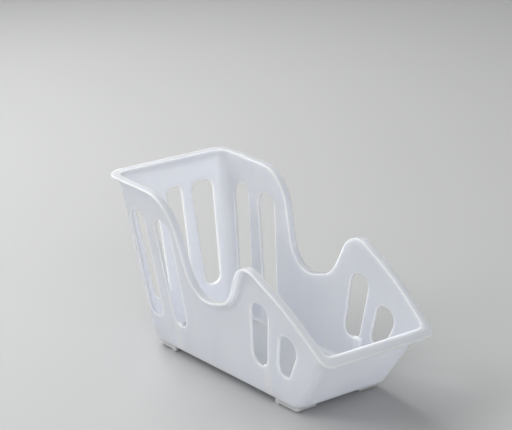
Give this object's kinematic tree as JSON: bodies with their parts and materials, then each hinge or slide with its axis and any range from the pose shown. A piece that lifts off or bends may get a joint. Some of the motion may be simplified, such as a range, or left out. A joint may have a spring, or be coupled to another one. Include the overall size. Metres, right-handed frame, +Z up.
{
  "type": "pot lid rack",
  "caption": "One-piece moulded stand for a pot lid: a narrow slotted tub, tall at one end, with a rounded notch across both sides and a rim that slopes to the low end.",
  "frame": {"origin": "bottom centre of the bounding box, on the surface that the feet stand on", "axes": "+Z up, +X along the rack towards its low end, +Y across the rack"},
  "size_m": [0.2608, 0.11, 0.1333],
  "materials": {
    "frosted_plastic": "frosted translucent polypropylene, natural milky white with a faint blue tint"
  },
  "bodies": {
    "root": {"rack_body": "frosted_plastic"}
  },
  "joints": []
}
